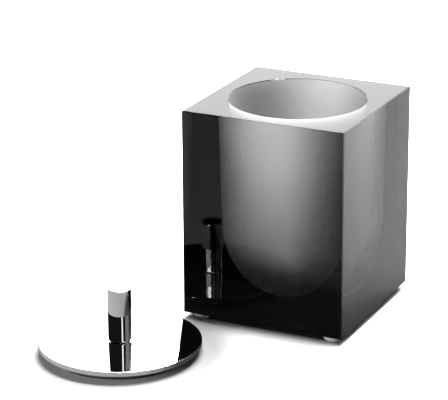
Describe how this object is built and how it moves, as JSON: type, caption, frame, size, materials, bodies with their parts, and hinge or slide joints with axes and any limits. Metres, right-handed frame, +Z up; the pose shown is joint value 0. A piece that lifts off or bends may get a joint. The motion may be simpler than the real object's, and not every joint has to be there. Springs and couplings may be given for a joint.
{
  "type": "ice bucket with lift-off lid",
  "caption": "Square block ice bucket of smoke-tinted clear acrylic with a frosted round well, soft feet and a flat round chrome lid with a bar knob.",
  "frame": {"origin": "centre of the block's flat underside, above the feet; the table is 6 mm lower", "axes": "+Z up, out of the well; -Y out of the face that looks towards the lid; +X to the right of that face"},
  "size_m": [0.2578, 0.3392, 0.2092],
  "materials": {
    "smoke_acrylic": "polished see-through grey acrylic, frosted inside the well",
    "clear_bumper": "clear soft plastic, glossy",
    "lid_chrome": "mirror-polished chrome plate",
    "washer_steel": "dull stainless steel",
    "screw_steel": "machined stainless steel",
    "ring_rubber": "matt soft rubber"
  },
  "bodies": {
    "bucket": {"bucket_block": "smoke_acrylic", "foot_front_left": "clear_bumper", "foot_front_right": "clear_bumper", "foot_rear_left": "clear_bumper", "foot_rear_right": "clear_bumper"},
    "lid": {"lid_plate": "lid_chrome", "lid_knob": "lid_chrome", "knob_washer": "washer_steel", "knob_screw": "screw_steel", "lid_ring": "ring_rubber"}
  },
  "joints": [
    {"name": "lid_lift", "type": "slide", "parent": "bucket", "child": "lid", "axis": [0, 0, 1], "range_m": [0, 0.26]}
  ]
}
